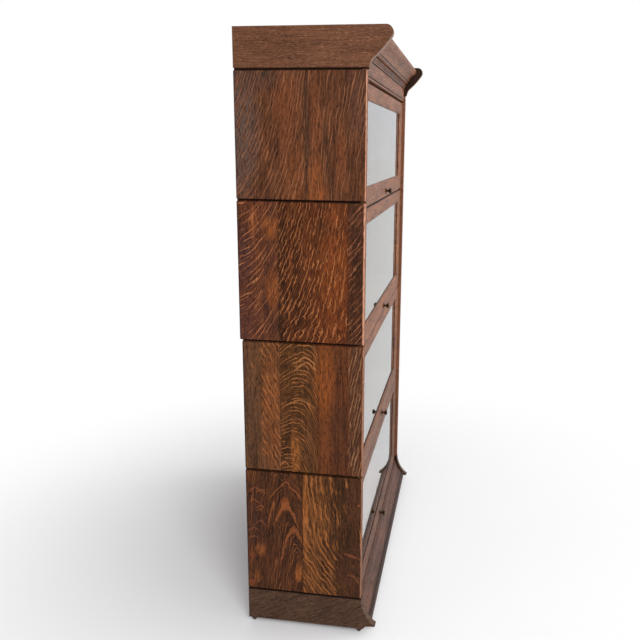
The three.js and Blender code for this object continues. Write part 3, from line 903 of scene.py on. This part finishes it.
def base_stop_rail():
    """A rail behind the lowest door's bottom edge, which closes the top of the base."""
    door_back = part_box("door_4_bottom_rail")[1].y
    moulding_low, moulding_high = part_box("base_front_moulding")
    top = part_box("base_end_left")[1].z
    behind_door = 2.4 * MM
    thickness, height = 12 * MM, 46 * MM
    profile = quarter_round(thickness, height, RAIL_ROUND)
    corner = Vector((0, door_back + behind_door, top - height))
    start = corner + Vector((moulding_low.x, 0, 0))
    end = corner + Vector((moulding_high.x, 0, 0))
    mesh = bar("stop", start, end, profile, Vector((0, 1, 0)), Vector((0, 0, 1)))
    new_piece("base_stop_rail", mesh, woods["inner"], "case")


glazing_beads()
crown_back_rail()
base_stop_rail()


# ---------------------------------------------------------------- floor, camera and light

FLOOR_SIZE, FLOOR_SIDES = 60.0, 96
CLOUD = 0.6
GLOW_START, GLOW_END = 0.2, 1.5
UNSEEN_GLOW = 0.84
BLACK, WHITE = (0.0, 0.0, 0.0, 1.0), (1.0, 1.0, 1.0, 1.0)
DIM_STUDIO, OPEN_STUDIO = (0.30, 0.30, 0.31, 1.0), (0.88, 0.88, 0.90, 1.0)
OPEN_WAY = (0.55, -0.83)
LAMP_SIZE = 2.4
EYE = Vector((-1.9615, -0.3404, 1.164))
EYE_TURN = math.radians(8.97)
EYE_DIP = math.radians(12.77)
EYE_ROLL = math.radians(0.58)
EYE_LENS, EYE_SENSOR = 40.5, 36.0
EYE_SHIFT = (-0.0564, -0.0172)


def make_floor():
    """A pale floor that takes the shadow near the case and fades to white further out.

    It shines a little less on the case than it does on the camera.
    """
    mesh = bpy.data.meshes.new("floor")
    net = bmesh.new()
    bmesh.ops.create_circle(net, cap_ends=True, radius=FLOOR_SIZE, segments=FLOOR_SIDES)
    net.to_mesh(mesh)
    net.free()
    floor = bpy.data.objects.new("floor", mesh)
    bpy.context.scene.collection.objects.link(floor)
    surface = Surface("pale_floor")
    cloud = noise(surface.x / CLOUD, surface.y / CLOUD, 1.0, detail=3.0)
    colour = blend_colours(cloud, paint(250, 250, 250), paint(244, 244, 245))
    distance = (surface.x * surface.x + surface.y * surface.y).root()
    glow = distance.rise(GLOW_START, GLOW_END)
    path = surface.tree.nodes.new("ShaderNodeLightPath")
    seen = Field(surface.tree, path.outputs["Is Camera Ray"])
    colour = blend_colours(glow, colour, BLACK)
    surface.settings(Specular_IOR_Level=0.0, Emission_Color=WHITE)
    strength = glow * (UNSEEN_GLOW + (1.0 - UNSEEN_GLOW) * seen)
    feed(surface.tree, surface.shader.inputs["Emission Strength"], strength)
    mesh.materials.append(surface.finish(colour, 0.7 + 0.1 * cloud, cloud, 0.2 * MM))


def make_camera():
    """The camera, out to the left of the case and level with its top door."""
    ahead = Vector((math.cos(EYE_TURN) * math.cos(EYE_DIP),
                    math.sin(EYE_TURN) * math.cos(EYE_DIP), -math.sin(EYE_DIP)))
    right = ahead.cross(Vector((0, 0, 1))).normalized()
    above = right.cross(ahead)
    turned_right = right * math.cos(EYE_ROLL) + above * math.sin(EYE_ROLL)
    turned_above = above * math.cos(EYE_ROLL) - right * math.sin(EYE_ROLL)
    data = bpy.data.cameras.new("camera")
    data.lens = EYE_LENS
    data.sensor_width = EYE_SENSOR
    data.shift_x, data.shift_y = EYE_SHIFT
    camera = bpy.data.objects.new("camera", data)
    bpy.context.scene.collection.objects.link(camera)
    turn = Matrix((turned_right, turned_above, -ahead)).transposed()
    camera.matrix_world = Matrix.Translation(EYE) @ turn.to_4x4()
    bpy.context.scene.camera = camera


def soft_lamp(name, place, target, power):
    """A round white lamp at a place, turned to a target."""
    data = bpy.data.lights.new(name, "AREA")
    data.shape = "DISK"
    data.size = LAMP_SIZE
    data.energy = power
    lamp = bpy.data.objects.new(name, data)
    bpy.context.scene.collection.objects.link(lamp)
    lamp.location = place
    lamp.rotation_euler = (Vector(target) - Vector(place)).to_track_quat("-Z", "Y").to_euler()


def make_world():
    """Pale all round, and brighter in front of the doors and to the right of the case.

    The camera itself sees plain white.
    """
    world = bpy.data.worlds.new("studio")
    bpy.context.scene.world = world
    world.use_nodes = True
    tree = world.node_tree
    tree.nodes.clear()
    source = tree.nodes.new("ShaderNodeTexCoord")
    parts = tree.nodes.new("ShaderNodeSeparateXYZ")
    tree.links.new(source.outputs["Generated"], parts.inputs["Vector"])
    x, y = (Field(tree, parts.outputs[axis]) for axis in ("X", "Y"))
    open_side = (OPEN_WAY[0] * x + OPEN_WAY[1] * y).rise(-0.5, 0.75)
    colour = blend_colours(open_side, DIM_STUDIO, OPEN_STUDIO)
    path = tree.nodes.new("ShaderNodeLightPath")
    seen = Field(tree, path.outputs["Is Camera Ray"])
    colour = blend_colours(seen, colour, WHITE)
    light = tree.nodes.new("ShaderNodeBackground")
    tree.links.new(colour, light.inputs["Color"])
    light.inputs["Strength"].default_value = 1.0
    end = tree.nodes.new("ShaderNodeOutputWorld")
    tree.links.new(light.outputs["Background"], end.inputs["Surface"])


make_floor()
make_camera()
make_world()
soft_lamp("front_box", (0.9, -3.4, 2.6), (0.0, 0.0, 0.8), 60)
soft_lamp("side_fill", (-3.6, -1.6, 3.0), (-0.4, 0.0, 0.7), 106)
bpy.context.scene.view_settings.view_transform = "Standard"
